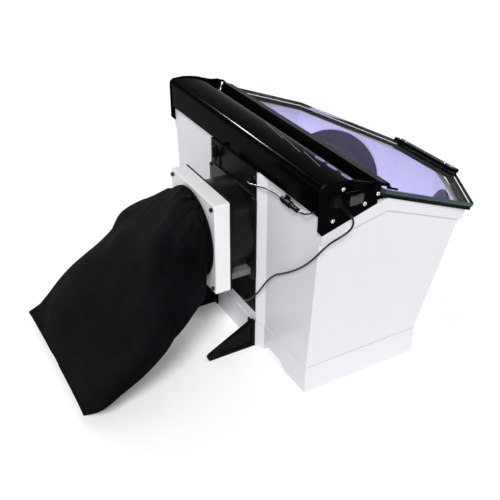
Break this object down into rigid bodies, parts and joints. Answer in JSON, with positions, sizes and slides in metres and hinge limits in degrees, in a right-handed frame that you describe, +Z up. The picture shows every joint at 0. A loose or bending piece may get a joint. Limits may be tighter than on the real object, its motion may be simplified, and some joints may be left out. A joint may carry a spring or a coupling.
{
  "type": "dust extraction cabinet",
  "caption": "Bench-top dust extraction cabinet with a hinged glass lid, sleeved arm ports, an LED light bar, a rear fan and a cloth dust bag.",
  "frame": {"origin": "middle of the flat underside of the base, on the cabinet's plane of symmetry", "axes": "+Z up, -Y towards the user's arm ports, +Y towards the fan and dust bag, +X to the user's right"},
  "size_m": [0.5392, 0.799, 0.409],
  "materials": {
    "white_plastic": "gloss moulded",
    "lid_glass": "polished, green edges",
    "black_rubber": "matt",
    "black_paint": "satin powder coat",
    "screw_steel": "bright",
    "black_gloss": "gloss",
    "purple_lens": "gloss",
    "bare_aluminium": "mill finish",
    "led_board": "white solder mask",
    "diffuser": "frosted",
    "black_plastic": "satin",
    "clear_boot": "clear, smoky",
    "guard_steel": "zinc plated wire",
    "grey_plastic": "satin",
    "black_screw": "black oxide",
    "black_fabric": "woven",
    "lead_sheath": "satin sheath",
    "pin_steel": "turned",
    "ring_plastic": "satin",
    "grey_fabric": "elastic, gathered"
  },
  "bodies": {
    "cabinet": {"arm_cuff_left": "grey_fabric", "arm_cuff_right": "grey_fabric", "arm_port_retainer_left": "ring_plastic", "arm_port_retainer_right": "ring_plastic", "arm_port_ring_left": "ring_plastic", "arm_port_ring_right": "ring_plastic", "arm_port_screws": "screw_steel", "back_panel_screws": "black_screw", "bag_drawcord": "black_rubber", "bag_frame": "white_plastic", "bag_frame_screws": "black_screw", "base_tray": "white_plastic", "cabinet_shell": "white_plastic", "cable_gland": "black_plastic", "cable_tie": "black_plastic", "connector_plug": "black_plastic", "connector_socket": "black_plastic", "dust_bag": "black_fabric", "end_plate_left": "black_paint", "end_plate_right": "black_paint", "end_plate_screws": "screw_steel", "fan_back_panel": "black_plastic", "fan_housing": "black_plastic", "fan_motor": "black_plastic", "fan_screws": "black_screw", "finger_guard": "guard_steel", "foot_screws": "black_screw", "gland_nut": "black_plastic", "hinge_pin_left": "pin_steel", "hinge_pin_right": "pin_steel", "indicator_lenses": "purple_lens", "lead_clamp": "black_plastic", "lead_clamp_screw": "black_screw", "led_board": "led_board", "led_carrier": "bare_aluminium", "led_diffuser": "diffuser", "led_driver": "black_plastic", "light_bar_hood": "black_gloss", "light_grommet": "black_rubber", "light_lead": "lead_sheath", "light_lead_tail": "lead_sheath", "rear_crossbar": "black_plastic", "rear_foot_left": "black_plastic", "rear_foot_right": "black_plastic", "strain_relief": "black_rubber", "supply_grommet": "black_rubber", "supply_lead": "lead_sheath", "switch_body": "black_plastic", "switch_boot": "clear_boot", "terminal_cover": "grey_plastic", "top_rim": "white_plastic"},
    "lid": {"glass_lid": "lid_glass", "lid_gasket": "black_rubber", "lid_rear_rail": "black_paint", "lid_handle": "black_paint", "lid_handle_screws": "screw_steel", "hinge_arm_left": "black_paint", "hinge_arm_right": "black_paint"},
    "impeller": {"fan_impeller": "black_plastic"},
    "rocker": {"rocker_switch": "black_plastic"}
  },
  "joints": [
    {"name": "lid_hinge", "type": "hinge", "parent": "cabinet", "child": "lid", "pos_m": [0, 0.067, 0.383], "axis": [-1, 0, 0], "range_deg": [0, 80]},
    {"name": "impeller_spin", "type": "hinge", "parent": "cabinet", "child": "impeller", "pos_m": [0, 0.18, 0.227], "axis": [0, 1, 0], "continuous": true},
    {"name": "rocker_tilt", "type": "hinge", "parent": "cabinet", "child": "rocker", "pos_m": [-0.2604, 0.103, 0.38], "axis": [0, 0, -1], "range_deg": [0, 16]}
  ]
}
